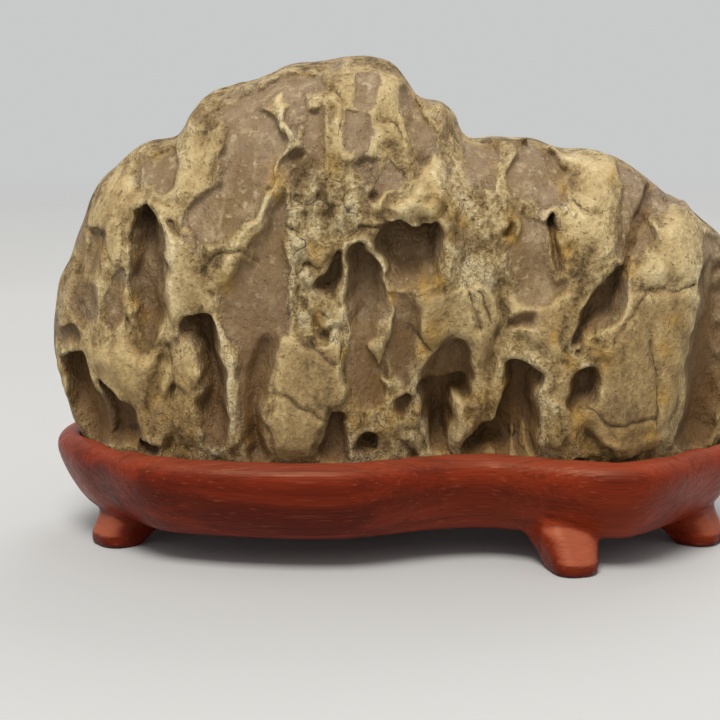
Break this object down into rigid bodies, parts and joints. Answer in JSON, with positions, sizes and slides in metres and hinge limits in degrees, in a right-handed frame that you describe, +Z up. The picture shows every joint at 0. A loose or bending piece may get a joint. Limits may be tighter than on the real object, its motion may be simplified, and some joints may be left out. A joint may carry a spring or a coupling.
{
  "type": "scholars rock",
  "caption": "Weathered tan scholar's rock with deep water-worn hollows, seated in a carved dark hardwood stand on short flared feet.",
  "frame": {"origin": "middle of the footprint, on the surface the feet stand on", "axes": "+Z up, +X along the length of the stone, -Y towards the viewer of the show face"},
  "size_m": [0.2432, 0.106, 0.1662],
  "materials": {
    "stone": "matte weathered crust over satin brown hollows",
    "stand_wood": "satin waxed red-brown rosewood"
  },
  "bodies": {
    "root": {"stone": "stone", "stand": "stand_wood"}
  },
  "joints": []
}
